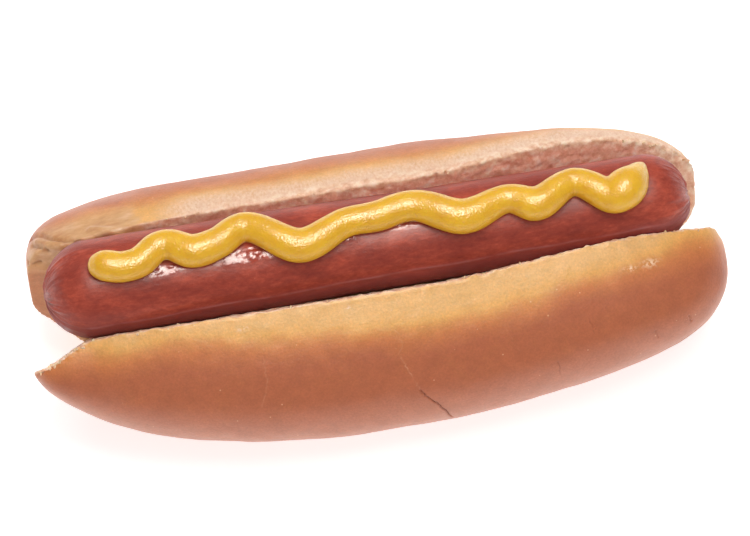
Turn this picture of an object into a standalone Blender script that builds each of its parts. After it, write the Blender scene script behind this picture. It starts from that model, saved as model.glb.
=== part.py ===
"""Hot dog: a side-hinged long roll, opened in a V, with a frankfurter and a wavy line of mustard.

The roll is modelled as it is made: a long loaf, sliced along one side, then opened about the
uncut strip of crust at the bottom. The frankfurter is a turned form that lies in the V, and the
mustard is a piped bead that waves from side to side along its top.

+X runs along the roll, +Y goes from the front half to the back half, +Z is up.
Everything is in metres. The origin is at the bottom centre of the whole hot dog.
"""

import math
from collections import namedtuple

import bmesh
import bpy
from mathutils import Vector

# Clearance between the pieces, which only touch in the real food.
GAP = 0.0003

# Frankfurter, with its axis on the working X axis.
SAUSAGE_LENGTH = 0.1428
SAUSAGE_LEFT_RADIUS = 0.0110
SAUSAGE_RIGHT_RADIUS = 0.0100
SAUSAGE_END_FLATTENING = 0.92
SAUSAGE_SIDES = 32
SAUSAGE_END_RINGS = 7
SAUSAGE_BODY_RINGS = 6

# Roll, measured in the folded-open section. "Along the cut" starts at the bottom of the V.
HINGE_Y = -0.0004
HINGE_Z = -0.0245
TABLE_Z = -0.0335
HINGE_THICKNESS = 0.007
SECTION_POWER = 2.5
LOAF_SIDES = 28
LOAF_RINGS = 34
TWIST_START = 0.010
TWIST_END = 0.060
DROOP_START = -0.061
TUCK_POWER = 8

# One half of the roll: the side it lies on, its lean and depth of cut along most of its length
# and at its right end, its thickness and how much of it the right end loses, its ends, how blunt
# they are in thickness and in outline, how far the left end sags out and up from the cut, the
# share of its lower half that the left end loses, and how far the right end's cut edge is tucked
# back.
Half = namedtuple(
    "Half",
    "side lean end_lean cut_depth end_cut_depth thickness slimming "
    "left_end right_end left_power right_power left_outline right_outline "
    "droop lift heel tuck")

FRONT_HALF = Half(
    side=-1,
    lean=math.radians(25),
    end_lean=math.radians(19),
    cut_depth=0.033,
    end_cut_depth=0.033,
    thickness=0.0307,
    slimming=0.05,
    left_end=-0.0769,
    right_end=0.0794,
    left_power=2.12,
    right_power=3.5,
    left_outline=3.0,
    right_outline=3.5,
    droop=0.0055,
    lift=0.004,
    heel=0.0,
    tuck=0.0020,
)
BACK_HALF = Half(
    side=1,
    lean=math.radians(25),
    end_lean=math.radians(33),
    cut_depth=0.031,
    end_cut_depth=0.0338,
    thickness=0.0240,
    slimming=0.23,
    left_end=-0.0752,
    right_end=0.0765,
    left_power=5.0,
    right_power=2.8,
    left_outline=4.0,
    right_outline=2.8,
    droop=0.0030,
    lift=0.0005,
    heel=0.42,
    tuck=0.0,
)

# Soft crumb under the frankfurter, between the halves.
CRUMB_LEFT = -0.061
CRUMB_RIGHT = 0.067
CRUMB_TOP_Z = -0.0045
CRUMB_HALF_WIDTH = 0.0115
CRUMB_END_ROUNDING = 0.006

# Mustard: at each bend, the place along the frankfurter, the swing from its top line in degrees
# (positive to the back), and the bead's half width.
MUSTARD_BENDS = [
    (-0.0610, -2, 0.0012),
    (-0.0597, -3, 0.0027),
    (-0.0540, -8, 0.0036),
    (-0.0450, 9, 0.0032),
    (-0.0385, -4, 0.0035),
    (-0.0260, 14, 0.0031),
    (-0.0155, -15, 0.0037),
    (-0.0050, 1, 0.0031),
    (0.0020, 3, 0.0032),
    (0.0105, 8, 0.0033),
    (0.0205, -12, 0.0038),
    (0.0305, 0, 0.0031),
    (0.0370, -11, 0.0036),
    (0.0455, 7, 0.0031),
    (0.0530, -15, 0.0037),
    (0.0570, -11, 0.0042),
    (0.0589, 1, 0.0031),
    (0.0595, 12, 0.0011),
]
MUSTARD_CENTRE_HEIGHT = 0.55
MUSTARD_STEPS_PER_BEND = 4
MUSTARD_BEVEL_RESOLUTION = 3


def smooth_step(value, low, high):
    """Rise from 0 at low to 1 at high, with level ends."""
    share = min(max((value - low) / (high - low), 0.0), 1.0)
    return share * share * (3.0 - 2.0 * share)


def signed_power(value, power):
    return math.copysign(abs(value) ** power, value)


def oval(share, power):
    """How full a superellipse is at this share of its half length."""
    return max(0.0, 1.0 - abs(share) ** power) ** (1.0 / power)


def fold_open(half, along, up_cut, outward):
    """Place a point of a sliced half, given from the hinge, in the opened roll."""
    twist = smooth_step(along, TWIST_START, TWIST_END)
    lean = half.lean + (half.end_lean - half.lean) * twist
    y = HINGE_Y + half.side * (up_cut * math.sin(lean) + outward * math.cos(lean))
    z = HINGE_Z + up_cut * math.cos(lean) - outward * math.sin(lean)
    return Vector((along, y, z))


def loaf_point(half, direction):
    """Turn a point of a unit sphere with its poles on Z into one of a sliced, opened half."""
    share = direction.z
    right = share > 0.0
    along = share * (half.right_end if right else -half.left_end)
    fullness = oval(share, half.right_power if right else half.left_power)
    outline = oval(share, half.right_outline if right else half.left_outline)
    around = math.atan2(direction.y, direction.x)
    domed = max(0.0, signed_power(math.sin(around), 2 / SECTION_POWER))
    twist = smooth_step(along, TWIST_START, TWIST_END)
    cut_depth = half.cut_depth + (half.end_cut_depth - half.cut_depth) * twist
    half_width = (cut_depth + HINGE_THICKNESS) / 2
    sag = 1.0 - smooth_step(along, half.left_end, DROOP_START)
    up_cut = cut_depth - half_width + half.lift * sag
    reach = signed_power(math.cos(around), 2 / SECTION_POWER)
    if reach < 0.0:
        reach *= 1.0 - half.heel * sag
    up_cut += half_width * outline * reach
    thickness = half.thickness * (1.0 - half.slimming * twist) * fullness
    cut_face = half.droop * sag
    outward = cut_face + (math.hypot(thickness, cut_face) - cut_face) * domed
    if right:
        along -= half.tuck * share ** TUCK_POWER * (1.0 - domed) ** 2
    return fold_open(half, along, up_cut, outward)


def collection_named(name):
    collection = bpy.data.collections.new(name)
    bpy.context.scene.collection.children.link(collection)
    return collection


def mesh_object(name, build, collection):
    """Make an object from a mesh that the function build fills."""
    shape = bmesh.new()
    build(shape)
    bmesh.ops.recalc_face_normals(shape, faces=shape.faces)
    mesh = bpy.data.meshes.new(name)
    shape.to_mesh(mesh)
    shape.free()
    made = bpy.data.objects.new(name, mesh)
    collection.objects.link(made)
    return made


def build_half(half):
    """Return a function that fills a mesh with one half of the roll."""
    def build(shape):
        bmesh.ops.create_uvsphere(
            shape, u_segments=LOAF_SIDES, v_segments=LOAF_RINGS, radius=1.0)
        for vert in shape.verts:
            vert.co = loaf_point(half, vert.co.normalized())
        bmesh.ops.triangulate(shape, faces=shape.faces)
    return build


def build_crumb(shape):
    """Fill a mesh with the bed of crumb that joins the halves under the frankfurter."""
    bmesh.ops.create_cube(shape, size=1.0)
    bottom = HINGE_Z - HINGE_THICKNESS / 2
    for vert in shape.verts:
        vert.co.x = CRUMB_RIGHT if vert.co.x > 0 else CRUMB_LEFT
        vert.co.y = HINGE_Y + math.copysign(CRUMB_HALF_WIDTH, vert.co.y)
        vert.co.z = CRUMB_TOP_Z if vert.co.z > 0 else bottom
        if vert.co.z == bottom:
            vert.co.y = HINGE_Y + (vert.co.y - HINGE_Y) * 0.3
    ends = [edge for edge in shape.edges
            if abs(edge.verts[0].co.x - edge.verts[1].co.x) < GAP]
    bmesh.ops.bevel(shape, geom=ends, offset=CRUMB_END_ROUNDING, segments=3, affect="EDGES",
                    profile=0.5, clamp_overlap=True)


def sausage_radius(along):
    share = (along + SAUSAGE_LENGTH / 2) / SAUSAGE_LENGTH
    return SAUSAGE_LEFT_RADIUS + (SAUSAGE_RIGHT_RADIUS - SAUSAGE_LEFT_RADIUS) * share


def sausage_profile(extra):
    """List the frankfurter's outline from its left end to its right, as (along, radius)."""
    points = []
    for side, radius in ((-1, SAUSAGE_LEFT_RADIUS), (1, SAUSAGE_RIGHT_RADIUS)):
        length = radius * SAUSAGE_END_FLATTENING
        centre = side * (SAUSAGE_LENGTH / 2 - length)
        body = sausage_radius(centre) + extra
        cap = []
        for ring in range(SAUSAGE_END_RINGS + 1):
            angle = math.radians(90) * ring / SAUSAGE_END_RINGS
            cap.append((centre + side * (length + extra) * math.cos(angle),
                        body * math.sin(angle)))
        points.append(cap)
    left, right = points
    start = left[-1][0]
    stop = right[-1][0]
    body = []
    for ring in range(1, SAUSAGE_BODY_RINGS):
        along = start + (stop - start) * ring / SAUSAGE_BODY_RINGS
        body.append((along, sausage_radius(along) + extra))
    return left + body + right[::-1]


def build_sausage(extra):
    """Return a function that fills a mesh with the frankfurter, larger by extra all over."""
    def build(shape):
        verts = [shape.verts.new((along, 0.0, radius))
                 for along, radius in sausage_profile(extra)]
        edges = [shape.edges.new(pair) for pair in zip(verts, verts[1:])]
        bmesh.ops.spin(shape, geom=verts + edges, cent=(0, 0, 0), axis=(1, 0, 0),
                       angle=2 * math.pi, steps=SAUSAGE_SIDES, use_merge=True)
        bmesh.ops.remove_doubles(shape, verts=shape.verts, dist=GAP / 10)
    return build


def mustard_bead(name, collection):
    """Sweep the mustard's wavy bead as a curve, and turn it into a closed mesh."""
    curve = bpy.data.curves.new(name, "CURVE")
    curve.dimensions = "3D"
    curve.bevel_depth = 1.0
    curve.bevel_resolution = MUSTARD_BEVEL_RESOLUTION
    curve.use_fill_caps = True
    curve.resolution_u = MUSTARD_STEPS_PER_BEND
    curve.twist_mode = "Z_UP"
    spline = curve.splines.new("BEZIER")
    spline.bezier_points.add(len(MUSTARD_BENDS) - 1)
    for point, (along, swing, half_width) in zip(spline.bezier_points, MUSTARD_BENDS):
        reach = sausage_radius(along) + half_width * MUSTARD_CENTRE_HEIGHT
        angle = math.radians(swing)
        point.co = (along, reach * math.sin(angle), reach * math.cos(angle))
        point.handle_left_type = "AUTO"
        point.handle_right_type = "AUTO"
        point.radius = half_width
    swept = bpy.data.objects.new(name + "_path", curve)
    collection.objects.link(swept)
    bpy.context.view_layer.update()
    evaluated = swept.evaluated_get(bpy.context.evaluated_depsgraph_get())
    mesh = bpy.data.meshes.new_from_object(evaluated)
    mesh.name = name
    bpy.data.objects.remove(swept)
    shape = bmesh.new()
    shape.from_mesh(mesh)
    bmesh.ops.remove_doubles(shape, verts=shape.verts, dist=GAP / 10)
    bmesh.ops.recalc_face_normals(shape, faces=shape.faces)
    shape.to_mesh(mesh)
    shape.free()
    made = bpy.data.objects.new(name, mesh)
    collection.objects.link(made)
    return made


def build_table(shape):
    """Fill a mesh with the block of space below the table's surface."""
    bmesh.ops.create_cube(shape, size=0.2)
    for vert in shape.verts:
        vert.co.z += TABLE_Z - 0.1


def combine(target, tool, operation):
    """Join the tool to the target, or cut it away."""
    modifier = target.modifiers.new(operation.title() + "_" + tool.name, "BOOLEAN")
    modifier.operation = operation
    modifier.object = tool
    tool.hide_render = True
    tool.display_type = "WIRE"


def paint(target, name, colour, roughness):
    """Give an object its own material."""
    material = bpy.data.materials.new(name)
    material.use_nodes = True
    shader = material.node_tree.nodes["Principled BSDF"]
    shader.inputs["Base Color"].default_value = (*colour, 1.0)
    shader.inputs["Roughness"].default_value = roughness
    shader.inputs["Metallic"].default_value = 0.0
    target.data.materials.clear()
    target.data.materials.append(material)
    target.data.shade_smooth()
    target.data.set_sharp_from_angle(angle=math.radians(50))


def stand_on_origin(pieces, cutters):
    """Move everything so that the bottom centre of its box is the origin."""
    bpy.context.view_layer.update()
    graph = bpy.context.evaluated_depsgraph_get()
    corners = []
    for piece in pieces:
        evaluated = piece.evaluated_get(graph)
        corners += [piece.matrix_world @ Vector(corner) for corner in evaluated.bound_box]
    low = [min(corner[axis] for corner in corners) for axis in range(3)]
    high = [max(corner[axis] for corner in corners) for axis in range(3)]
    middle = Vector(((low[0] + high[0]) / 2, (low[1] + high[1]) / 2, low[2]))
    base = bpy.data.objects.new("hot_dog_base", None)
    bpy.context.scene.collection.objects.link(base)
    for moved in pieces + cutters:
        moved.parent = base
    base.location = -middle


def main():
    for old in list(bpy.data.objects):
        bpy.data.objects.remove(old)
    parts = collection_named("hot_dog")
    tools = collection_named("hot_dog_cutters")

    bun = mesh_object("bun", build_half(FRONT_HALF), parts)
    back = mesh_object("back_half", build_half(BACK_HALF), tools)
    crumb = mesh_object("crumb_bed", build_crumb, tools)
    groove = mesh_object("sausage_groove", build_sausage(GAP), tools)
    table = mesh_object("table_space", build_table, tools)
    combine(bun, back, "UNION")
    combine(bun, crumb, "UNION")
    combine(bun, groove, "DIFFERENCE")
    combine(bun, table, "DIFFERENCE")

    sausage = mesh_object("sausage", build_sausage(0.0), parts)
    mustard = mustard_bead("mustard", parts)
    combine(mustard, groove, "DIFFERENCE")

    paint(bun, "baked_crust", (0.55, 0.25, 0.10), 0.6)
    paint(sausage, "smoked_sausage", (0.33, 0.07, 0.04), 0.35)
    paint(mustard, "yellow_mustard", (0.80, 0.45, 0.03), 0.3)
    stand_on_origin([bun, sausage, mustard], [back, crumb, groove, table])


main()
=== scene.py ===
import math
from collections import namedtuple
from functools import partial

import bmesh
import bpy
import numpy as np
from mathutils import Matrix, Vector, noise


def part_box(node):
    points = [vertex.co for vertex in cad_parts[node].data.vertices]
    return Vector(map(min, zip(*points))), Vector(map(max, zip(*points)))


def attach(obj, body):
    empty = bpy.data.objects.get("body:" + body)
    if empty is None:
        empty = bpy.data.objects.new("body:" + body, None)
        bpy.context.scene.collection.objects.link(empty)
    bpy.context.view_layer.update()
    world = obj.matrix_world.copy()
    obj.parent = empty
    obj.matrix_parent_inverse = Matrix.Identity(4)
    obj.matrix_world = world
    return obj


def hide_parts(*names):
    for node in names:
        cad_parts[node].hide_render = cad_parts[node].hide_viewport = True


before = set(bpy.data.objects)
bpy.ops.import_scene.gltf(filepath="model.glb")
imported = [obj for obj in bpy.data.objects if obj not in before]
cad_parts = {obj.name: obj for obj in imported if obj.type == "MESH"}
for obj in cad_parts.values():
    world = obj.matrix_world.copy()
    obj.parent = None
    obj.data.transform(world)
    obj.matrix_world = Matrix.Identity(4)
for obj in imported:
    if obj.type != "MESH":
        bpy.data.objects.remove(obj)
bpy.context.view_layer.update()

# Shapes are worked out in millimetres about the middle of the frankfurter's axis, then placed.
MM = 0.001
SAUSAGE_LOW, SAUSAGE_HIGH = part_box("sausage")
AXIS_MIDDLE = (Vector(SAUSAGE_LOW) + Vector(SAUSAGE_HIGH)) / 2

# Roll. "Up the cut" is measured from the bottom of the V, "outward" away from the sliced face.
HINGE_Y = -0.4
HINGE_Z = -24.5
TABLE_Z = -AXIS_MIDDLE.z / MM
HINGE_THICKNESS = 7.0
SECTION_POWER = 2.5
TWIST_START = 10.0
TWIST_END = 60.0
DROOP_START = -61.0
TUCK_POWER = 8
LOAF_SIDES = 96
LOAF_RINGS = 150
CRUMB_BED = (-61.0, 67.0)
BED_TOP_Z = -4.5
BED_HALF_WIDTH = 11.0
ROLL_VOXEL = 0.5
ROLL_GAP = 0.25

Half = namedtuple(
    "Half",
    "side lean end_lean cut_depth end_cut_depth thickness slimming "
    "left_end right_end left_power right_power left_outline right_outline "
    "droop lift heel tuck pale_edge browning_width browning_most")

FRONT_HALF = Half(
    side=-1, lean=math.radians(25), end_lean=math.radians(19),
    cut_depth=33.0, end_cut_depth=33.0, thickness=30.7, slimming=0.05,
    left_end=-76.9, right_end=79.4, left_power=2.12, right_power=3.5,
    left_outline=3.0, right_outline=3.5, droop=5.5, lift=4.0, heel=0.0, tuck=2.0,
    pale_edge=((-76, -1.0), (-62, -0.2), (-47, 0.4), (-25, 3.0), (0, 5.5), (25, 4.4),
               (48, 4.0), (68, -0.2), (79, -1.5)),
    browning_width=10.5, browning_most=1.0)
BACK_HALF = Half(
    side=1, lean=math.radians(25), end_lean=math.radians(33),
    cut_depth=31.0, end_cut_depth=33.8, thickness=24.0, slimming=0.23,
    left_end=-75.2, right_end=76.5, left_power=5.0, right_power=2.8,
    left_outline=4.0, right_outline=2.8, droop=3.0, lift=0.5, heel=0.42, tuck=0.0,
    pale_edge=((-75, -1.5), (-60, 2.0), (-50, 2.5), (-20, 2.5), (30, 2.5), (60, 3.0), (77, 2.5)),
    browning_width=14.0, browning_most=0.95)

# Frankfurter.
SAUSAGE_LENGTH = (SAUSAGE_HIGH[0] - SAUSAGE_LOW[0]) / MM
SAUSAGE_LEFT_RADIUS = 11.0
SAUSAGE_RIGHT_RADIUS = 10.0
SAUSAGE_END_FLATTENING = 0.92
SAUSAGE_SIDES = 240
SAUSAGE_RINGS = 380

# Mustard: along the frankfurter, swing from its top line in degrees, and half width.
MUSTARD_BENDS = [
    (-58.9, -3, 2.5),
    (-57.6, -4.5, 3.4),
    (-54.0, -8.5, 3.4),
    (-50.0, -6, 3.4),
    (-46.0, 6.5, 3.3),
    (-42.8, 6.5, 3.4),
    (-38.5, -4, 3.7),
    (-33.0, 0.5, 3.5),
    (-26.0, 14, 3.3),
    (-15.5, -15.5, 3.8),
    (-5.0, 1, 3.3),
    (2.0, 2.5, 3.4),
    (10.5, 8, 3.5),
    (20.5, -12.5, 3.9),
    (30.5, -0.5, 3.2),
    (37.0, -11, 3.8),
    (43.8, 5, 3.2),
    (47.2, 5, 3.2),
    (53.0, -15, 3.8),
    (56.5, -10.5, 4.5),
    (58.9, -1, 3.3),
    (60.1, 8, 2.3),
    (61.2, 15.5, 1.4),
    (61.8, 20.0, 0.7),
]
# A faint crease runs along the front flank, this many degrees from the top at each end.
FLANK_CREASE = (78.0, 61.0)
CREASE_ENDS = (-70.0, 70.0)
CREASE_DEPTH = 0.08
CRINKLE_DEPTH = 0.34
PUCKER_DEPTH = 0.8
# Where fat has wept out and crinkled the casing: along and degrees to the front, then the half
# length and half width in the same units.
WET_PATCHES = [
    (-45.0, 14.0, 4.0, 10.0),
    (-26.6, 14.0, 6.5, 10.0),
    (-5.5, 12.0, 2.5, 6.0),
    (8.0, 8.0, 3.0, 6.0),
]

MUSTARD_CENTRE_HEIGHT = 0.55
MUSTARD_VOXEL = 0.3
MUSTARD_STEP = 0.5
MUSTARD_GAP = 0.08
MUSTARD_UNEVENNESS = 0.07

# View: degrees round and above the table, distance, and the width seen at the frankfurter.
VIEW_AZIMUTH = math.radians(-10.1)
VIEW_ELEVATION = math.radians(65)
VIEW_DISTANCE = 0.75
VIEW_WIDTH = 0.165
VIEW_SHIFT_RIGHT = 1.56 * MM
VIEW_SHIFT_UP = -5.2 * MM
SENSOR_WIDTH = 36.0


# ---------------------------------------------------------------- small helpers

def smooth_step(value, low, high):
    """Rise from 0 at low to 1 at high, with level ends."""
    share = np.clip((value - low) / (high - low), 0.0, 1.0)
    return share * share * (3.0 - 2.0 * share)


def signed_power(value, power):
    return np.sign(value) * np.abs(value) ** power


def oval(share, power):
    """How full a superellipse is at this share of its half length."""
    return np.maximum(0.0, 1.0 - np.abs(share) ** power) ** (1.0 / power)


def read_points(mesh):
    points = np.empty(len(mesh.vertices) * 3)
    mesh.vertices.foreach_get("co", points)
    return points.reshape(-1, 3)


def read_normals(mesh):
    normals = np.empty(len(mesh.vertices) * 3)
    mesh.vertices.foreach_get("normal", normals)
    return normals.reshape(-1, 3)


def write_points(mesh, points):
    mesh.vertices.foreach_set("co", points.ravel())
    mesh.update()


def write_masks(mesh, **masks):
    """Store numbers per vertex, for the material to read by name."""
    for name, values in masks.items():
        layer = mesh.attributes.new(name, "FLOAT", "POINT")
        layer.data.foreach_set("value", np.asarray(values, dtype=np.float32))


def grain(points, size, seed, octaves=3):
    """Smooth uneven values, about -1 to 1, whose lumps are this many millimetres across."""
    offset = Vector((seed * 17.3, seed * 5.7, seed * 11.9))
    return np.array([
        noise.fractal(Vector(point) / size + offset, 0.9, 2.1, octaves) for point in points])


def grain_where(shown, points, size, seed, octaves):
    """Work grain out only at the places where it shows, and leave 0 elsewhere."""
    values = np.zeros(len(points))
    values[shown] = grain(points[shown], size, seed, octaves)
    return values


def new_object(name, mesh):
    made = bpy.data.objects.new(name, mesh)
    bpy.context.scene.collection.objects.link(made)
    return made


def settle(made):
    """Apply an object's modifiers, and return its plain mesh."""
    bpy.context.view_layer.update()
    graph = bpy.context.evaluated_depsgraph_get()
    mesh = bpy.data.meshes.new_from_object(made.evaluated_get(graph))
    bpy.data.objects.remove(made)
    return mesh


def remesh(shape, name, voxel, smoothing):
    """Melt overlapping closed shapes into one fine, even skin."""
    mesh = bpy.data.meshes.new(name)
    shape.to_mesh(mesh)
    shape.free()
    made = new_object(name, mesh)
    melt = made.modifiers.new("melt", "REMESH")
    melt.mode = "VOXEL"
    melt.voxel_size = voxel
    soften = made.modifiers.new("soften", "SMOOTH")
    soften.factor = 0.5
    soften.iterations = smoothing
    return settle(made)


def place(mesh, name, material, node):
    """Put a finished shape in the frame as the piece that stands for a CAD node."""
    mesh.transform(Matrix.Translation(AXIS_MIDDLE) @ Matrix.Scale(MM, 4))
    mesh.materials.clear()
    mesh.materials.append(material)
    mesh.shade_smooth()
    piece = new_object(name, mesh)
    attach(piece, "root")
    if node:
        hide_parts(node)
    return piece


# ---------------------------------------------------------------- frankfurter's outline

def sausage_radius(along):
    share = (along + SAUSAGE_LENGTH / 2) / SAUSAGE_LENGTH
    return SAUSAGE_LEFT_RADIUS + (SAUSAGE_RIGHT_RADIUS - SAUSAGE_LEFT_RADIUS) * share


def clear_of_sausage(points, gap):
    """Push any point that is inside the frankfurter out to its skin."""
    along = points[:, 0]
    left = -SAUSAGE_LENGTH / 2 + SAUSAGE_LEFT_RADIUS * SAUSAGE_END_FLATTENING
    right = SAUSAGE_LENGTH / 2 - SAUSAGE_RIGHT_RADIUS * SAUSAGE_END_FLATTENING
    nearest = np.clip(along, left, right)
    away = points.copy()
    away[:, 0] = (along - nearest) / SAUSAGE_END_FLATTENING
    distance = np.linalg.norm(away, axis=1)
    wanted = sausage_radius(nearest) + gap
    scale = np.where(distance < wanted, wanted / np.maximum(distance, 1e-6), 1.0)
    moved = away * scale[:, None]
    moved[:, 0] = nearest + moved[:, 0] * SAUSAGE_END_FLATTENING
    return moved


# ---------------------------------------------------------------- roll

def lean_at(half, along):
    return half.lean + (half.end_lean - half.lean) * smooth_step(along, TWIST_START, TWIST_END)


def fold_open(half, along, up_cut, outward):
    """Place points of a sliced half, given from the hinge, in the opened roll."""
    lean = lean_at(half, along)
    y = HINGE_Y + half.side * (up_cut * np.sin(lean) + outward * np.cos(lean))
    z = HINGE_Z + up_cut * np.cos(lean) - outward * np.sin(lean)
    return np.stack([along, y, z], axis=-1)


def fold_back(half, points):
    """Undo fold_open: give each point's place up the cut and outward."""
    lean = lean_at(half, points[:, 0])
    across = half.side * (points[:, 1] - HINGE_Y)
    height = points[:, 2] - HINGE_Z
    up_cut = across * np.sin(lean) + height * np.cos(lean)
    outward = across * np.cos(lean) - height * np.sin(lean)
    return up_cut, outward


def sag_at(half, along):
    """Rise from 0 to 1 over the left end, where the sliced halves lose their shape."""
    return 1.0 - smooth_step(along, half.left_end, DROOP_START)


def section(half, along):
    """Give a half's section along it: its middle, half width, cut face and crown."""
    share = np.where(along > 0, along / half.right_end, along / -half.left_end)
    share = np.clip(share, -1.0, 1.0)
    right = share > 0
    fullness = np.where(right, oval(share, half.right_power), oval(share, half.left_power))
    outline = np.where(right, oval(share, half.right_outline), oval(share, half.left_outline))
    twist = smooth_step(along, TWIST_START, TWIST_END)
    cut_depth = half.cut_depth + (half.end_cut_depth - half.cut_depth) * twist
    sag = sag_at(half, along)
    half_width = (cut_depth + HINGE_THICKNESS) / 2
    middle = cut_depth - half_width + half.lift * sag
    cut_face = half.droop * sag
    thickness = half.thickness * (1.0 - half.slimming * twist) * fullness
    crown = np.hypot(thickness, cut_face)
    return middle, half_width * outline, cut_face, crown


def loaf_points(half, unit):
    """Turn points of a unit sphere with its poles on Z into a sliced, opened half."""
    share = unit[:, 2]
    along = np.where(share > 0, share * half.right_end, share * -half.left_end)
    middle, width, cut_face, crown = section(half, along)
    around = np.arctan2(unit[:, 1], unit[:, 0])
    reach = signed_power(np.cos(around), 2 / SECTION_POWER)
    reach = np.where(reach < 0, reach * (1.0 - half.heel * sag_at(half, along)), reach)
    up_cut = middle + width * reach
    domed = np.maximum(0.0, signed_power(np.sin(around), 2 / SECTION_POWER))
    outward = cut_face + (crown - cut_face) * domed
    tucked = half.tuck * np.maximum(share, 0.0) ** TUCK_POWER * (1.0 - domed) ** 2
    return fold_open(half, along - tucked, up_cut, outward)


def skin_point(half, along, outward):
    """Find the place on the upper side of a half's crust, this far outward from the cut."""
    along = np.atleast_1d(np.asarray(along, dtype=float))
    outward = np.atleast_1d(np.asarray(outward, dtype=float))
    middle, width, cut_face, crown = section(half, along)
    domed = np.clip((outward - cut_face) / (crown - cut_face), 0.0, 1.0)
    up_cut = middle + width * (1.0 - domed ** SECTION_POWER) ** (1.0 / SECTION_POWER)
    return fold_open(half, along, up_cut, outward)


def add_sphere(shape, place_points):
    """Add a fine ball to a shape, its points moved by a function."""
    ball = bmesh.new()
    bmesh.ops.create_uvsphere(ball, u_segments=LOAF_SIDES, v_segments=LOAF_RINGS, radius=1.0)
    mesh = bpy.data.meshes.new("ball")
    ball.to_mesh(mesh)
    ball.free()
    unit = read_points(mesh)
    unit /= np.linalg.norm(unit, axis=1)[:, None]
    write_points(mesh, place_points(unit))
    shape.from_mesh(mesh)
    bpy.data.meshes.remove(mesh)


def bed_points(unit):
    """Shape the soft crumb that fills the bottom of the V."""
    middle = (CRUMB_BED[0] + CRUMB_BED[1]) / 2
    reach = (CRUMB_BED[1] - CRUMB_BED[0]) / 2
    along = middle + reach * signed_power(unit[:, 2], 0.35)
    across = signed_power(unit[:, 0], 0.5)
    height = signed_power(unit[:, 1], 0.4)
    bottom = HINGE_Z - HINGE_THICKNESS / 2
    z = bottom + (BED_TOP_Z - bottom) * (height + 1) / 2
    narrowing = 0.3 + 0.7 * (height + 1) / 2
    y = HINGE_Y + BED_HALF_WIDTH * across * narrowing
    return np.stack([along, y, z], axis=-1)


def nearest_on_path(points, path):
    """Distance from each point to a path of closely spaced places."""
    best = np.full(len(points), 1e9)
    for spot in path:
        best = np.minimum(best, np.sum((points - spot) ** 2, axis=1))
    return np.sqrt(best)


def walk(bends, spacing):
    """Step evenly along straight lines between bends."""
    bends = np.array(bends, dtype=float)
    spots = []
    for start, end in zip(bends, bends[1:]):
        steps = max(2, int(np.linalg.norm(end - start) / spacing))
        spots.extend(start + (end - start) * step / steps for step in range(steps))
    spots.append(bends[-1])
    return np.array(spots)


def crack_path(half, bends, seed):
    """Draw a wandering line on a half's crust through bends given as (along, outward)."""
    spots = walk(bends, CRACK_STEP)
    for number, spot in enumerate(spots):
        walked = number * CRACK_STEP
        spot[0] += CRACK_WANDER * (noise.noise(Vector((walked * 0.6, seed, 0.0)))
                                   + 0.5 * noise.noise(Vector((walked * 2.0, seed, 5.0))))
    return skin_point(half, spots[:, 0], spots[:, 1])


def refine(mesh, paths, reach, cuts):
    """Split the faces near some paths, so that a hairline has points enough to hold it."""
    points = read_points(mesh)
    close = np.zeros(len(points), dtype=bool)
    for path in paths:
        close |= nearest_on_path(points, path) < reach
    shape = bmesh.new()
    shape.from_mesh(mesh)
    shape.verts.ensure_lookup_table()
    edges = [edge for edge in shape.edges if close[edge.verts[0].index]
             and close[edge.verts[1].index]]
    bmesh.ops.subdivide_edges(shape, edges=edges, cuts=cuts, use_grid_fill=True)
    shape.to_mesh(mesh)
    shape.free()
    mesh.update()


# Hairline cracks in the front crust: bends as (along, outward), width, depth, darkness.
# Below zero the darkness is a pale line, where only the glaze has split.
CRACKS = [
    (((2.0, 8.5), (3.4, 11.5), (2.2, 13.8), (3.7, 17.8), (5.8, 22.6)), 0.14, 0.05, -0.7),
    (((5.8, 22.6), (7.2, 24.6), (9.1, 25.9), (10.6, 27.8), (12.7, 30.1)), 0.20, 0.45, 1.0),
    (((-26.6, 7.0), (-27.2, 13.0), (-27.0, 16.0), (-29.0, 20.5)), 0.13, 0.04, -0.5),
    (((24.5, 9.5), (26.5, 14.0), (28.2, 18.5)), 0.12, 0.04, -0.45),
    (((36.6, 23.0), (36.9, 25.0), (37.6, 27.0)), 0.15, 0.20, 0.5),
    (((44.6, 15.5), (45.0, 17.0), (45.2, 18.4)), 0.12, 0.12, 0.35),
    (((59.2, 21.0), (59.8, 22.4)), 0.22, 0.30, 0.5),
    (((67.3, 18.8), (67.9, 19.8)), 0.25, 0.30, 0.6),
]
CRACK_STEP = 0.2
CRACK_WANDER = 0.5
CRACK_MARGIN = 0.5
CRACK_CUTS = 3
# The glaze is scuffed off in these spots: along, outward, and half length.
SCUFFS = [(55.2, 6.8, 1.3), (59.9, 6.3, 1.8), (-30.5, 3.0, 1.2), (-7.0, 2.2, 0.8)]
SCUFF_NARROWNESS = 0.45

# Folds in the unsliced skin at the back half's left end: spots in space, width, height.
FOLDS = [
    (((-73.2, 18.6, -9.5), (-70.5, 17.0, -5.0), (-68.6, 14.5, -2.1), (-65.5, 12.6, -0.4),
      (-62.4, 11.4, 0.4)), 0.55, -0.75),
    (((-73.4, 15.8, -6.2), (-71.5, 13.8, -3.6), (-69.7, 12.1, -2.6)), 0.5, -0.7),
    (((-71.5, 15.2, -4.6), (-69.2, 13.2, -2.2), (-66.5, 12.0, -1.4)), 1.0, 0.55),
    (((-59.5, 14.0, 0.8), (-58.3, 13.6, 1.0), (-55.3, 12.2, 1.7), (-52.8, 11.4, 0.9)), 0.8, 0.5),
    (((-60.0, 12.4, 0.2), (-56.8, 11.6, 0.2), (-53.5, 10.8, -0.6)), 0.6, -0.4),
    (((-74.6, 12.4, -7.6), (-73.4, 11.6, -6.8), (-71.7, 11.1, -5.9)), 0.45, -0.6),
]
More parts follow.
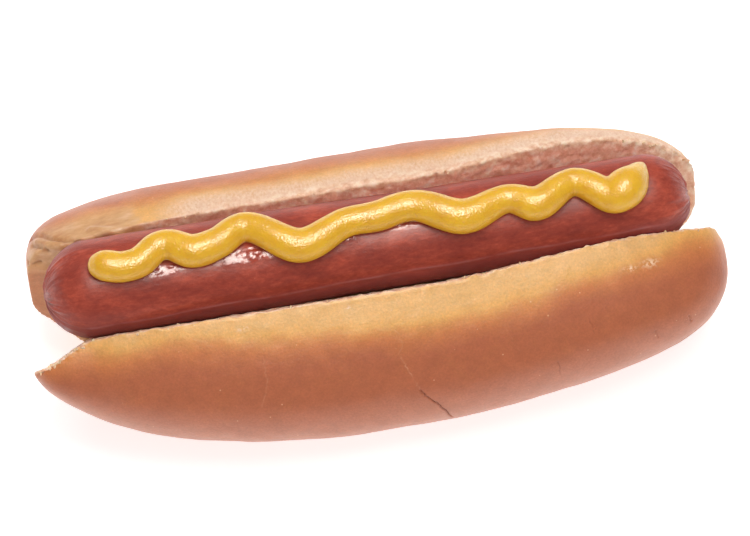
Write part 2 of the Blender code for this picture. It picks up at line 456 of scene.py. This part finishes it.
FOLD_STEP = 0.4
FOLD_RELIEF = 1.3
# How dark the painted shade in the fold grooves is.
FOLD_DARKNESS = 0.5

# Where the roll's surface changes along its length, each as (from, to).
WHOLE_SKIN_ENDS = (-52.0, -46.0)
CRUMB_SPREADS = (-46.0, -5.0)
# Where the crumb beside the frankfurter is steamed and carries painted bounce light.
STEAM_STARTS = (-40.0, -33.0)
STEAM_ENDS = (64.0, 70.0)
FRONT_TIP = (-68.0, -58.0)
BACK_TIP = (64.0, 71.0)
# Where the back half's pale side carries its painted sheen.
GLAZE_STARTS = (-48.0, -36.0)
GLAZE_ENDS = (66.0, 76.0)
END_WALL = (66.0, 72.0)
END_WALL_HEIGHT = (-10.0, -5.0)

# How deep in the crust it changes, each as (from, to).
CUT_DEPTH = (1.0, 2.0)
CRUMB_OVER_RIM = (0.8, 3.2)
GLAZE_DEPTH = (2.5, 9.0)
WHOLE_SKIN_DEPTH = (4.0, 10.5)
END_BROWNING = (6.0, 12.0)
# Depths of the painted bounce glow on the back half's whole-skin end.
END_BLEACH = (8.0, 15.0)
END_BLEACH_STOPS = (16.0, 21.0)

# Torn crumb and rim.
RIM_WIDTH = 0.9
PORE_SIZE = 2.2
PORE_DEPTH = 0.32
TATTER_SIZE = 1.5
DEEPEST_TATTER = -0.35
LEAST_SHOWN = 0.02

RollSpots = namedtuple(
    "RollSpots", "along is_front is_back up_cut outward depth middle rim cut_face crown facing_in")


def read_roll(points, normals):
    """Say of each point which half it is on, and where it is in that half's section."""
    along = points[:, 0]
    front_up, front_out = fold_back(FRONT_HALF, points)
    back_up, back_out = fold_back(BACK_HALF, points)
    is_front = front_out > back_out
    outward = np.where(is_front, front_out, back_out)
    sections = zip(section(FRONT_HALF, along), section(BACK_HALF, along))
    middle, width, cut_face, crown = [
        np.where(is_front, front, back) for front, back in sections]
    lean = np.where(is_front, lean_at(FRONT_HALF, along), lean_at(BACK_HALF, along))
    side = np.where(is_front, FRONT_HALF.side, BACK_HALF.side)
    return RollSpots(
        along=along, is_front=is_front, is_back=~is_front,
        up_cut=np.where(is_front, front_up, back_up), outward=outward,
        depth=outward - cut_face, middle=middle, rim=middle + width,
        cut_face=cut_face, crown=crown,
        facing_in=-(normals[:, 1] * side * np.cos(lean) - normals[:, 2] * np.sin(lean)))


def find_skins(points, at, ragged_end):
    """Find the cut faces, the torn crumb, and the skin that was never sliced."""
    cut = smooth_step(at.facing_in, 0.35, 0.75) * (1 - smooth_step(at.depth, *CUT_DEPTH))
    # The back half was not sliced through at its left end: there the side is whole skin.
    skinned = (1 - smooth_step(ragged_end, *WHOLE_SKIN_ENDS)) * at.is_back
    over_rim = at.is_back * (at.up_cut > at.middle) * smooth_step(at.along, *CRUMB_SPREADS)
    over_rim *= 1 - smooth_step(at.depth + 0.9 * grain(points, 3.0, 9, 3), *CRUMB_OVER_RIM)
    crumb = np.maximum(cut, over_rim) * (1 - skinned)
    return cut, crumb, skinned


def raise_relief(points, at, cut, crumb, skinned):
    """Work out how far each point rises, and how deep it lies in a fold, for the painted shade in
    the fold grooves.
    """
    swell = 0.35 * grain(points, 24.0, 1, 2) + 0.12 * grain(points, 7.0, 2, 2)
    pores = grain_where(crumb > LEAST_SHOWN, points, PORE_SIZE, 3, 4)
    lift = swell * (1 - cut) + crumb * PORE_DEPTH * pores
    tip = (at.is_front * (1 - smooth_step(at.along, *FRONT_TIP))
           + at.is_back * smooth_step(at.along, *BACK_TIP))
    rim_distance = np.hypot(at.up_cut - at.rim, at.depth)
    ragged = np.exp(-(rim_distance / RIM_WIDTH) ** 2)
    ragged *= (at.up_cut > at.middle) * (1 - 0.9 * skinned)
    tatters = grain_where(ragged > LEAST_SHOWN, points, TATTER_SIZE, 4, 3)
    places = np.clip(1.6 * grain(points, 6.5, 6, 2), 0.0, 1.0)
    lift += ragged * (0.16 + 0.6 * places + 0.6 * tip) * np.maximum(tatters, DEEPEST_TATTER)
    folded = np.zeros(len(points))
    for bends, width, height in FOLDS:
        fold = np.exp(-(nearest_on_path(points, walk(bends, FOLD_STEP)) / width) ** 2)
        lift += FOLD_RELIEF * height * fold
        folded = np.maximum(folded, -height * fold)
    return lift, folded


def open_cracks(points, normals, paths, folded):
    """Sink the cracks into the crust, and say how dark, or below zero how pale, they are; the fold
    grooves get painted shade in the same mask.
    """
    crack = FOLD_DARKNESS * folded
    for path, (_, width, depth, darkness) in zip(paths, CRACKS):
        gap = np.exp(-(nearest_on_path(points, path) / width) ** 2)
        points -= normals * (gap * depth)[:, None]
        broken = 0.6 + 0.8 * grain(points, 1.3, 31, 2)
        line = gap * darkness * np.clip(broken, 0.1, 1.0)
        crack = np.where(np.abs(line) > np.abs(crack), line, crack)
    return crack


def find_scuffs(points):
    scuff = np.zeros(len(points))
    for along, outward, reach in SCUFFS:
        spot = skin_point(FRONT_HALF, along, outward)[0]
        narrow = SCUFF_NARROWNESS * reach
        away = (points - spot) / (reach, narrow, narrow)
        scuff = np.maximum(scuff, np.exp(-np.sum(away ** 2, axis=1)))
    return scuff


def brown_crust(points, at, skinned, end_wall):
    """Say how browned the crust is, and where a pinkish veil is painted on towards the table, as
    painted bounce light from it.
    """
    border = np.where(at.is_front,
                      np.interp(at.along, *zip(*FRONT_HALF.pale_edge)),
                      np.interp(at.along, *zip(*BACK_HALF.pale_edge)))
    fade = np.where(at.is_front, FRONT_HALF.browning_width, BACK_HALF.browning_width)
    most = np.where(at.is_front, FRONT_HALF.browning_most, BACK_HALF.browning_most)
    uneven = 1.3 * grain(points, 15.0, 7, 3)
    browning = most * smooth_step(at.outward + uneven, border - 1.5, border + fade)
    browning = np.maximum(browning, skinned * smooth_step(at.depth + 2 * uneven, *END_BROWNING))
    # Painted bounce light from the table: a pinkish veil on the crust's outer, lower parts.
    underside = smooth_step(at.depth, 0.68 * (at.crown - at.cut_face), at.crown - at.cut_face)
    underside *= np.where(at.is_front, 1.0, 0.25)
    end_side = smooth_step(at.depth, *END_BLEACH) * (1 - smooth_step(at.depth, *END_BLEACH_STOPS))
    underside = np.maximum(underside, skinned * end_side)
    return np.maximum(browning, 0.5 * end_wall), np.maximum(underside, 0.8 * end_wall)


def build_roll():
    """Make the roll's fine mesh, with its folds, torn edges, cracks and masks."""
    shape = bmesh.new()
    add_sphere(shape, partial(loaf_points, FRONT_HALF))
    add_sphere(shape, partial(loaf_points, BACK_HALF))
    add_sphere(shape, bed_points)
    mesh = remesh(shape, "roll", ROLL_VOXEL, 2)
    crack_paths = [crack_path(FRONT_HALF, bends, number + 1)
                   for number, (bends, *_) in enumerate(CRACKS)]
    refine(mesh, crack_paths, CRACK_MARGIN + ROLL_VOXEL, CRACK_CUTS)

    points = read_points(mesh)
    normals = read_normals(mesh)
    at = read_roll(points, normals)
    ragged_end = at.along + 2.5 * grain(points, 3.0, 8, 3)
    cut, crumb, skinned = find_skins(points, at, ragged_end)
    lift, folded = raise_relief(points, at, cut, crumb, skinned)
    points += normals * lift[:, None]
    points = clear_of_sausage(points, ROLL_GAP)
    points[:, 2] = np.maximum(points[:, 2], TABLE_Z)
    crack = open_cracks(points, normals, crack_paths, folded)
    write_points(mesh, points)

    end_wall = at.is_back * smooth_step(-at.along, *END_WALL)
    end_wall *= 1 - smooth_step(points[:, 2], *END_WALL_HEIGHT)
    browning, underside = brown_crust(points, at, skinned, end_wall)
    # Crumb beside the frankfurter: steamed, with painted red bounce light and painted light in the
    # V's shade.
    moist = at.is_back * smooth_step(ragged_end, *STEAM_STARTS)
    moist *= 1 - smooth_step(at.up_cut, at.rim - 2.6, at.rim - 0.4)
    moist *= 1 - 0.8 * smooth_step(at.along, *STEAM_ENDS)
    # The back half's pale side near the cut, whitened there as a painted sheen.
    glaze = at.is_back * smooth_step(at.along, *GLAZE_STARTS)
    glaze *= 1 - smooth_step(at.along, *GLAZE_ENDS)
    glaze *= 1 - smooth_step(at.depth + 0.8 * grain(points, 10.0, 41, 3), *GLAZE_DEPTH)
    whole_skin = skinned * (1 - smooth_step(at.depth, *WHOLE_SKIN_DEPTH)) * (1 - 0.7 * end_wall)
    write_masks(mesh, browning=browning, crumb=crumb, crack=crack, scuff=find_scuffs(points),
                underside=underside, moist=moist, glaze=glaze, whole_skin=whole_skin)
    return mesh


# ---------------------------------------------------------------- frankfurter and mustard

def turn_frankfurter(unit):
    """Run a unit sphere's rings evenly along the frankfurter.

    Give the points, their turn about the axis, and the way along the skin to the nearer end.
    """
    around = np.arctan2(unit[:, 1], unit[:, 0])
    turn = np.arccos(np.clip(unit[:, 2] / np.linalg.norm(unit, axis=1), -1, 1)) / math.pi
    left_cap = SAUSAGE_LEFT_RADIUS * SAUSAGE_END_FLATTENING
    right_cap = SAUSAGE_RIGHT_RADIUS * SAUSAGE_END_FLATTENING
    left_arc = SAUSAGE_LEFT_RADIUS * math.pi / 2
    right_arc = SAUSAGE_RIGHT_RADIUS * math.pi / 2
    body = SAUSAGE_LENGTH - left_cap - right_cap
    walked = (1 - turn) * (left_arc + body + right_arc)
    left_angle = np.clip(walked / left_arc, 0, 1) * math.pi / 2
    right_angle = np.clip((walked - left_arc - body) / right_arc, 0, 1) * math.pi / 2
    straight = np.clip(walked - left_arc, 0, body)
    along = (-SAUSAGE_LENGTH / 2 + left_cap * (1 - np.cos(left_angle)) + straight
             + right_cap * np.sin(right_angle))
    nearest = np.clip(along, -SAUSAGE_LENGTH / 2 + left_cap, SAUSAGE_LENGTH / 2 - right_cap)
    radius = sausage_radius(nearest) * np.sin(left_angle) * np.cos(right_angle)
    points = np.stack([along, radius * np.sin(around), radius * np.cos(around)], axis=-1)
    return points, around, np.minimum(walked, left_arc + body + right_arc - walked)


def find_crease(points, along, to_front, from_end):
    """Find the faint crease along the front flank, with its pale line as a painted highlight, and
    the lower flank below it, darkened as painted shade from the roll.
    """
    on_axis = np.stack([along, 0 * along, 0 * along], axis=-1)
    crease_at = np.interp(along, CREASE_ENDS, FLANK_CREASE) + 2.0 * grain(on_axis, 12.0, 13, 3)
    crease = np.exp(-((to_front - crease_at) / 1.5) ** 2)
    crease *= np.clip(0.75 + 0.9 * grain(points, 6.0, 14, 3), 0.1, 1.0)
    crease *= smooth_step(from_end, 8.0, 20.0)
    return crease, smooth_step(to_front, crease_at - 12.0, crease_at + 14.0)


def find_wet(along, to_front):
    wet = np.zeros(len(along))
    for wet_along, wet_angle, half_length, half_angle in WET_PATCHES:
        patch = np.exp(-((along - wet_along) / half_length) ** 4
                       - ((to_front - wet_angle) / half_angle) ** 4)
        wet = np.maximum(wet, patch)
    return wet


def build_frankfurter():
    """Make the frankfurter's fine mesh, puckered at both ends."""
    shape = bmesh.new()
    bmesh.ops.create_uvsphere(
        shape, u_segments=SAUSAGE_SIDES, v_segments=SAUSAGE_RINGS, radius=1.0)
    mesh = bpy.data.meshes.new("frankfurter")
    shape.to_mesh(mesh)
    shape.free()
    points, around, from_end = turn_frankfurter(read_points(mesh))
    write_points(mesh, points)
    normals = read_normals(mesh)
    along = points[:, 0].copy()

    pucker = np.exp(-((from_end - 3.0) / 7.0) ** 2) * smooth_step(from_end, 0.3, 3.0)
    spokes = np.stack([np.cos(around) * 2.2, np.sin(around) * 2.2,
                       np.sign(along) * 3.0 + from_end * 0.03], axis=-1)
    lines = np.array([noise.fractal(Vector(spot) * 1.6, 0.7, 2.2, 4) for spot in spokes])
    dimple = -0.5 * np.exp(-(from_end / 1.6) ** 2)
    swell = 0.25 * grain(points, 22.0, 11, 2) + 0.05 * grain(points, 5.0, 12, 2)
    to_front = np.degrees(-around)
    crease, flank = find_crease(points, along, to_front, from_end)
    wet = find_wet(along, to_front)
    crinkle = -np.abs(grain_where(wet > 0.01, points * (0.7, 1.0, 1.0), 1.7, 15, 3))

    lift = -np.abs(lines) * pucker * PUCKER_DEPTH + dimple
    lift += swell * smooth_step(from_end, 0.5, 8.0)
    lift += CRINKLE_DEPTH * wet * crinkle - CREASE_DEPTH * crease
    points += normals * lift[:, None]
    write_points(mesh, points)
    write_masks(mesh, pucker=pucker * np.clip(np.abs(lines) * 2.5, 0, 1), crease=crease,
                flank=flank, wet=wet)
    return mesh


def smooth_through(rows, step):
    """Run a smooth line through rows of numbers, with even steps between them."""
    rows = np.array(rows, dtype=float)
    before = np.vstack([rows[0], rows[:-1]])
    after = np.vstack([rows[1:], rows[-1]])
    steered = (after - before) / 2
    line = []
    for start, end, leave, arrive in zip(rows, rows[1:], steered, steered[1:]):
        count = max(2, int(abs(end[0] - start[0]) / step) + int(abs(end[1] - start[1]) / 4))
        for number in range(count):
            t = number / count
            line.append((2 * t**3 - 3 * t**2 + 1) * start + (t**3 - 2 * t**2 + t) * leave
                        + (3 * t**2 - 2 * t**3) * end + (t**3 - t**2) * arrive)
    line.append(rows[-1])
    return line


def build_mustard():
    """Pipe the mustard's wavy bead as close dabs, melt them, and lay it on the frankfurter."""
    shape = bmesh.new()
    for along, swing, half_width in smooth_through(MUSTARD_BENDS, MUSTARD_STEP):
        reach = sausage_radius(along) + half_width * MUSTARD_CENTRE_HEIGHT
        angle = math.radians(swing)
        spot = Vector((along, reach * math.sin(angle), reach * math.cos(angle)))
        bmesh.ops.create_icosphere(
            shape, subdivisions=3, radius=half_width, matrix=Matrix.Translation(spot))
    mesh = remesh(shape, "mustard", MUSTARD_VOXEL, 4)
    points = clear_of_sausage(read_points(mesh), MUSTARD_GAP)
    write_points(mesh, points)
    normals = read_normals(mesh)
    points += normals * (MUSTARD_UNEVENNESS * grain(points, 5.0, 21, 2))[:, None]
    points = clear_of_sausage(points, MUSTARD_GAP)
    write_points(mesh, points)
    height = np.hypot(points[:, 1], points[:, 2]) - sausage_radius(points[:, 0])
    # Painted shade at the bead's thin edges, where it curls down to the skin.
    write_masks(mesh, thin_edge=1 - smooth_step(height, 0.3, 2.2))
    return mesh


# ---------------------------------------------------------------- materials

def linear(hex_colour):
    """Turn an sRGB hex colour into the linear numbers that a shader takes."""
    channels = [int(hex_colour[start:start + 2], 16) / 255 for start in (1, 3, 5)]
    return tuple(value / 12.92 if value <= 0.04045 else ((value + 0.055) / 1.055) ** 2.4
                 for value in channels) + (1.0,)


def join(tree, node, inputs):
    """Give a node's inputs their numbers, hex colours or links."""
    for name, value in inputs.items():
        if isinstance(value, bpy.types.NodeSocket):
            tree.links.new(value, node.inputs[name])
        elif isinstance(value, str):
            node.inputs[name].default_value = linear(value)
        else:
            node.inputs[name].default_value = value


def add_node(tree, kind, inputs, output=0, stops=(), **settings):
    """Add a node with its settings, inputs and colour stops, and give one of its outputs."""
    made = tree.nodes.new("ShaderNode" + kind)
    for name, value in settings.items():
        setattr(made, name, value)
    join(tree, made, inputs)
    if stops:
        elements = made.color_ramp.elements
        while len(elements) < len(stops):
            elements.new(0.5)
        for element, (position, colour) in zip(elements, stops):
            element.position = position
            element.color = linear(colour)
    return made.outputs[output]


def new_material(name):
    """Start a material: give it, what adds its nodes, what sets its shader, and the place."""
    material = bpy.data.materials.new(name)
    material.use_nodes = True
    tree = material.node_tree
    add = partial(add_node, tree)
    finish = partial(join, tree, tree.nodes["Principled BSDF"])
    return material, add, finish, add("TexCoord", {}, "Object")


def lumps(where, size_mm, detail=3.0, roughness=0.55):
    """Set noise so that its lumps are this many millimetres across."""
    return {"Vector": where, "Scale": 1.0 / (size_mm * MM), "Detail": detail,
            "Roughness": roughness}


def tint(add, colour, tone, mask, share=1.0):
    """Bring a colour towards a tone by this share of a mask."""
    amount = add("Math", {0: mask, 1: share}, operation="MULTIPLY")
    return add("Mix", {0: amount, 6: colour, 7: tone}, 2, data_type="RGBA")


def vary_value(add, colour, pattern, amount):
    """Make a colour lighter and darker along a pattern that averages one half."""
    value = add("Math", {0: pattern, 1: amount, 2: 1.0 - amount / 2}, operation="MULTIPLY_ADD")
    return add("HueSaturation", {"Value": value, "Color": colour})


def specks(add, where, spacing_mm, radius_mm, share):
    """Give 1 in small round spots, in this share of the cells of an uneven grid."""
    distance = add("TexVoronoi", {"Vector": where, "Scale": 1.0 / (spacing_mm * MM)}, "Distance")
    spot = add("MapRange", {
        "Value": distance, "From Min": 0.5 * radius_mm / spacing_mm,
        "From Max": radius_mm / spacing_mm, "To Min": 1.0, "To Max": 0.0})
    chance = add("SeparateColor", {"Color": distance.node.outputs["Color"]})
    chosen = add("Math", {0: chance, 1: share}, operation="LESS_THAN")
    return add("Math", {0: spot, 1: chosen}, operation="MULTIPLY")


def browned_crust(add, where):
    """Colour the baked skin by its masks, with its speckle, spots, scuffs, and the back half's
    pale side with its painted sheen.
    """
    browning, underside, scuff, glaze, whole_skin = [
        add("Attribute", {}, "Fac", attribute_name=name)
        for name in ("browning", "underside", "scuff", "glaze", "whole_skin")]
    blotches = add("TexNoise", lumps(where, 8.0, 4.0))
    speckle = add("TexNoise", lumps(where, 0.8, 3.0, 0.7))
    tone = add("Math", {0: blotches, 1: 0.26, 2: -0.13}, operation="MULTIPLY_ADD")
    tone = add("Math", {0: browning, 1: tone}, operation="ADD")
    tone = add("Math", {0: tone, 1: -0.13}, operation="ADD")
    tone = add("Math", {0: speckle, 1: 0.26, 2: tone}, operation="MULTIPLY_ADD")
    crust = add("ValToRGB", {0: tone}, stops=[
        (0.00, "#e8b36d"), (0.20, "#e6aa5c"), (0.45, "#d58c4a"), (0.68, "#ca7843"),
        (1.00, "#b56440")])
    # Painted bounce light: a pinkish veil on the crust towards the table.
    crust = tint(add, crust, "#cf9078", underside, 0.55)
    crust = vary_value(add, crust, add("TexNoise", lumps(where, 0.50, 2.0, 0.7)), 0.46)
    crust = vary_value(add, crust, add("TexNoise", lumps(where, 3.2, 4.0, 0.6)), 0.36)
    crust = tint(add, crust, "#f2c79b", specks(add, where, 2.6, 0.22, 0.35), 0.5)
    crust = tint(add, crust, "#8a4a30", specks(add, where, 3.7, 0.20, 0.30), 0.4)
    flakes = add("MapRange", {
        "Value": add("TexNoise", lumps(where, 0.7)), "From Min": 0.47, "From Max": 0.56})
    crust = tint(add, crust, "#f6d2ad", scuff, flakes)

    # The back half's side: pale crust with fine scratches, whitened towards pinkish white as a
    # painted sheen from the light behind, and creased skin at its end.
    drawn = add("Mapping", {"Vector": where, "Scale": (1.0, 0.5, 0.5)})
    bloom = add("ValToRGB", {0: add("TexNoise", lumps(drawn, 0.55, 4.0, 0.7))}, stops=[
        (0.34, "#ddb196"), (0.50, "#eac8b2"), (0.66, "#f5dccc")])
    crust = tint(add, crust, bloom, glaze, 0.75)
    stretched = add("Mapping", {
        "Vector": where, "Rotation": (0.0, 0.0, 0.35), "Scale": (0.35, 1.0, 1.0)})
    creased = add("ValToRGB", {0: add("TexNoise", lumps(stretched, 2.2, 4.0, 0.6))}, stops=[
        (0.34, "#c08860"), (0.50, "#d0a074"), (0.66, "#e0b892")])
    return tint(add, crust, creased, whole_skin, 0.8)


def baked_milk_roll():
    """Soft milk-roll crust: satin brown on the domes, pale where the loaves rose apart."""
    material, add, finish, where = new_material("baked_milk_roll")
    crumb, crack, moist = [
        add("Attribute", {}, "Fac", attribute_name=name) for name in ("crumb", "crack", "moist")]

    # Torn crumb: a web of cream walls round darker holes, pinker where the sausage steams it, and
    # lighter and redder there as painted light: the frankfurter's red bounce, and light laid into
    # the shade of the V.
    web = add("TexNoise", lumps(where, 1.7, 4.0, 0.65))
    dry = add("ValToRGB", {0: web}, stops=[
        (0.32, "#dba98a"), (0.46, "#eabf9f"), (0.62, "#f8dec4")])
    steamed = add("ValToRGB", {0: web}, stops=[
        (0.32, "#e5a084"), (0.50, "#f8bca0"), (0.66, "#ffdcc8")])
    colour = tint(add, browned_crust(add, where), tint(add, dry, steamed, moist), crumb)

    # Hairline cracks: dark inside, or pale where only the glaze has split. The same dark tint lays
    # painted shade in the fold grooves at the back half's left end.
    dark = add("Math", {0: crack, 1: 0.0}, operation="MAXIMUM")
    pale = add("Math", {0: crack, 1: 0.0}, operation="MINIMUM")
    colour = tint(add, colour, "#6e3524", dark, 0.8)
    colour = tint(add, colour, "#edb98f", pale, -0.6)

    skin = add("TexNoise", lumps(where, 0.6, 2.0, 0.6))
    dimples = add("TexNoise", lumps(where, 2.6))
    height = add("Math", {0: dimples, 1: 1.6, 2: skin}, operation="MULTIPLY_ADD")
    holes = add("Math", {0: web, 1: crumb}, operation="MULTIPLY")
    height = add("Math", {0: holes, 1: 2.6, 2: height}, operation="MULTIPLY_ADD")
    rough = add("Math", {0: add("TexNoise", lumps(where, 0.9)), 1: 0.25, 2: 0.32},
                operation="MULTIPLY_ADD")
    rough = add("Math", {0: crumb, 1: 0.12, 2: rough}, operation="MULTIPLY_ADD")
    finish({
        "Base Color": colour,
        "Normal": add("Bump", {"Strength": 0.5, "Distance": 0.12 * MM, "Height": height}),
        "Roughness": rough,
        "IOR": 1.45,
        "Subsurface Weight": 0.12,
        "Subsurface Radius": (1.0, 0.45, 0.2),
        "Subsurface Scale": 1.6 * MM,
        "Sheen Weight": 0.30,
        "Sheen Roughness": 0.4,
        "Sheen Tint": "#ffdcd0",
    })
    return material


def torn_crumb():
    """Loose bits of bread: cream, matt and rough."""
    material, add, finish, where = new_material("torn_crumb")
    web = add("TexNoise", lumps(where, 0.8))
    finish({
        "Base Color": add("ValToRGB", {0: web}, stops=[(0.3, "#e0b088"), (0.65, "#f4d8b2")]),
        "Normal": add("Bump", {"Strength": 0.5, "Distance": 0.15 * MM, "Height": web}),
        "Roughness": 0.8,
        "Subsurface Weight": 0.15,
        "Subsurface Scale": 0.8 * MM,
    })
    return material


def smoked_frankfurter_skin():
    """Cooked frankfurter casing: red-brown and moist, its shine broken by fine creases."""
    material, add, finish, where = new_material("smoked_frankfurter_skin")
    pucker, wet, flank, crease = [
        add("Attribute", {}, "Fac", attribute_name=name)
        for name in ("pucker", "wet", "flank", "crease")]
    drawn = add("Mapping", {"Vector": where, "Scale": (0.5, 1.0, 1.0)})
    smoke = add("TexNoise", lumps(drawn, 5.0, 4.0, 0.6))
    fine = add("TexNoise", lumps(drawn, 0.8, 3.0, 0.7))
    tone = add("Math", {0: smoke, 1: 0.6}, operation="MULTIPLY")
    tone = add("Math", {0: fine, 1: 0.4, 2: tone}, operation="MULTIPLY_ADD")
    colour = add("ValToRGB", {0: tone}, stops=[
        (0.34, "#843025"), (0.50, "#9e3f2e"), (0.66, "#be533c")])
    # Painted shade: the lower front flank darkened where the roll's front half shades it.
    colour = tint(add, colour, "#8a4444", flank, 0.7)
    colour = tint(add, colour, "#b85a4c", pucker, 0.25)
    # Painted highlight: a pale line along the flank crease.
    colour = tint(add, colour, "#b5716e", crease, 0.65)
    colour = tint(add, colour, "#d07a62", specks(add, where, 3.1, 0.18, 0.25), 0.35)

    creases = add("TexNoise", lumps(drawn, 0.9, 4.0, 0.7))
    pores = add("TexNoise", lumps(where, 0.30, 2.0))
    height = add("Math", {0: creases, 1: 2.5, 2: pores}, operation="MULTIPLY_ADD")
    rough = add("Math", {0: fine, 1: 0.2, 2: 0.32}, operation="MULTIPLY_ADD")
    rough = add("Math", {0: wet, 1: -0.18, 2: rough}, operation="MULTIPLY_ADD")
    juice = add("Math", {0: wet, 1: 0.5}, operation="MULTIPLY")
    moist_ends = add("Math", {0: pucker, 1: 0.25}, operation="MULTIPLY")
    juice = add("Math", {0: juice, 1: moist_ends}, operation="MAXIMUM")
    finish({
        "Base Color": colour,
        "Normal": add("Bump", {"Strength": 0.40, "Distance": 0.10 * MM, "Height": height}),
        "Roughness": rough,
        "Coat Weight": add("Math", {0: juice, 1: 0.05}, operation="ADD"),
        "Coat Roughness": 0.14,
        "IOR": 1.34,
        "Subsurface Weight": 0.15,
        "Subsurface Radius": (1.0, 0.25, 0.15),
        "Subsurface Scale": 1.5 * MM,
    })
    return material


def yellow_mustard():
    """Prepared mustard: a bright wet paste, with seed grain that makes its shine sparkle."""
    material, add, finish, where = new_material("yellow_mustard")
    thin_edge = add("Attribute", {}, "Fac", attribute_name="thin_edge")
    colour = add("ValToRGB", {0: add("TexNoise", lumps(where, 4.0))}, stops=[
        (0.35, "#e2a80a"), (0.65, "#ecb60e")])
    # Painted shade: darker orange-brown at the bead's thin edges.
    colour = tint(add, colour, "#c06a14", thin_edge, 0.7)
    seed = add("TexNoise", lumps(where, 0.45, 1.0, 0.5))
    clots = add("TexNoise", lumps(where, 1.6, 2.0))
    height = add("Math", {0: clots, 1: 0.1, 2: seed}, operation="MULTIPLY_ADD")
    bump = add("Bump", {"Strength": 1.0, "Distance": 0.13 * MM, "Height": height})
    finish({
        "Base Color": colour,
        "Normal": bump,
        "Coat Normal": bump,
        "Roughness": 0.40,
        "IOR": 1.42,
        "Coat Weight": 0.8,
        "Coat Roughness": 0.24,
        "Subsurface Weight": 0.25,
        "Subsurface Radius": (1.0, 0.6, 0.12),
        "Subsurface Scale": 1.8 * MM,
    })
    return material


def pale_table():
    """Matt white studio card, lit a little from within so that it stays white."""
    material, _, finish, _ = new_material("pale_table")
    finish({
        "Base Color": "#e6e6e6",
        "Roughness": 0.9,
        "Specular IOR Level": 0.1,
        "Emission Color": "#ffffff",
        "Emission Strength": 0.62,
    })
    return material


# ---------------------------------------------------------------- crumbs

# Where loose bits stick to the cut edges: half, from, to, how many, smallest, largest.
CRUMB_ZONES = [
    (FRONT_HALF, -75.5, -62.0, 34, 0.18, 0.50),
    (FRONT_HALF, -62.0, 75.0, 46, 0.12, 0.38),
    (BACK_HALF, -46.0, 66.0, 40, 0.12, 0.35),
    (BACK_HALF, 66.0, 75.0, 18, 0.15, 0.40),
]


def add_crumb(shape, spot, size, chance):
    """Add one torn, lumpy flake."""
    turn = Matrix.Rotation(chance.uniform(0, math.tau), 4, Vector(chance.normal(size=3)))
    stretch = Matrix.Diagonal((1.3, chance.uniform(0.7, 1.2), chance.uniform(0.4, 0.8), 1.0))
    made = bmesh.ops.create_icosphere(
        shape, subdivisions=2, radius=size, matrix=Matrix.Translation(spot) @ turn @ stretch)
    for vert in made["verts"]:
        away = vert.co - Vector(spot)
        vert.co += away * 0.9 * noise.noise(vert.co * (0.9 / size))


def build_crumbs():
    """Scatter torn bits of bread along both cut edges."""
    chance = np.random.default_rng(7)
    shape = bmesh.new()
    for half, start, end, count, smallest, largest in CRUMB_ZONES:
        for _ in range(count):
            along = chance.uniform(start, end)
            size = smallest + (largest - smallest) * chance.uniform() ** 2
            middle, width, cut_face, _ = section(half, np.array([along]))
            up_cut = middle + width - chance.uniform(-0.05, 0.9)
            outward = cut_face + chance.uniform(-0.1, 0.6)
            add_crumb(shape, fold_open(half, np.array([along]), up_cut, outward)[0],
                      size, chance)
    mesh = bpy.data.meshes.new("crumbs")
    shape.to_mesh(mesh)
    shape.free()
    return mesh


# ---------------------------------------------------------------- stage

def soft_light(name, place_at, size, power, colour, shines=True, lights=True):
    """A softbox that faces the hot dog, for its shine, its lighting, or both."""
    data = bpy.data.lights.new(name, "AREA")
    data.shape = "RECTANGLE"
    data.size, data.size_y = size
    data.energy = power
    data.color = linear(colour)[:3]
    made = new_object(name, data)
    made.location = place_at
    made.visible_glossy = shines
    made.visible_diffuse = lights
    aim = AXIS_MIDDLE - Vector(place_at)
    made.rotation_euler = aim.to_track_quat("-Z", "Y").to_euler()


def set_stage():
    """Lay the table, hang the lights and stand the camera."""
    shape = bmesh.new()
    bmesh.ops.create_grid(shape, x_segments=1, y_segments=1, size=1.5)
    mesh = bpy.data.meshes.new("table_top")
    shape.to_mesh(mesh)
    shape.free()
    mesh.materials.append(pale_table())
    new_object("table_top", mesh)

    soft_light("overhead_softbox", (0.03, 0.03, 0.72), (0.50, 0.16), 2.3, "#fffaf4",
               shines=False)
    soft_light("shine_strip", (0.05, -0.02, 0.72), (0.50, 0.15), 6.8, "#fffcf4",
               lights=False)
    soft_light("front_fill", (0.0, -0.50, 0.55), (1.2, 0.6), 1.0, "#ffffff",
               shines=False)
    soft_light("back_softbox", (-0.05, 0.50, 0.60), (0.8, 0.25), 1.8, "#ffffff",
               shines=False)

    world = bpy.data.worlds.new("white_studio")
    bpy.context.scene.world = world
    world.use_nodes = True
    background = world.node_tree.nodes["Background"]
    background.inputs["Color"].default_value = linear("#fbfbff")
    background.inputs["Strength"].default_value = 0.34
    bpy.context.scene.view_settings.view_transform = "Standard"

    backward = Vector((math.sin(VIEW_AZIMUTH) * math.cos(VIEW_ELEVATION),
                       -math.cos(VIEW_AZIMUTH) * math.cos(VIEW_ELEVATION),
                       math.sin(VIEW_ELEVATION)))
    right = Vector((math.cos(VIEW_AZIMUTH), math.sin(VIEW_AZIMUTH), 0.0))
    upward = backward.cross(right)
    aim = AXIS_MIDDLE + right * VIEW_SHIFT_RIGHT + upward * VIEW_SHIFT_UP
    data = bpy.data.cameras.new("camera")
    data.sensor_width = SENSOR_WIDTH
    data.lens = SENSOR_WIDTH * VIEW_DISTANCE / VIEW_WIDTH
    data.clip_start = 0.01
    camera = new_object("camera", data)
    camera.matrix_world = (Matrix.Translation(aim + backward * VIEW_DISTANCE)
                           @ Matrix((right, upward, backward)).transposed().to_4x4())
    bpy.context.scene.camera = camera


crust = baked_milk_roll()
place(build_roll(), "fine_bun", crust, "bun")
place(build_crumbs(), "rim_crumbs", torn_crumb(), None)
place(build_frankfurter(), "fine_sausage", smoked_frankfurter_skin(), "sausage")
place(build_mustard(), "fine_mustard", yellow_mustard(), "mustard")
set_stage()
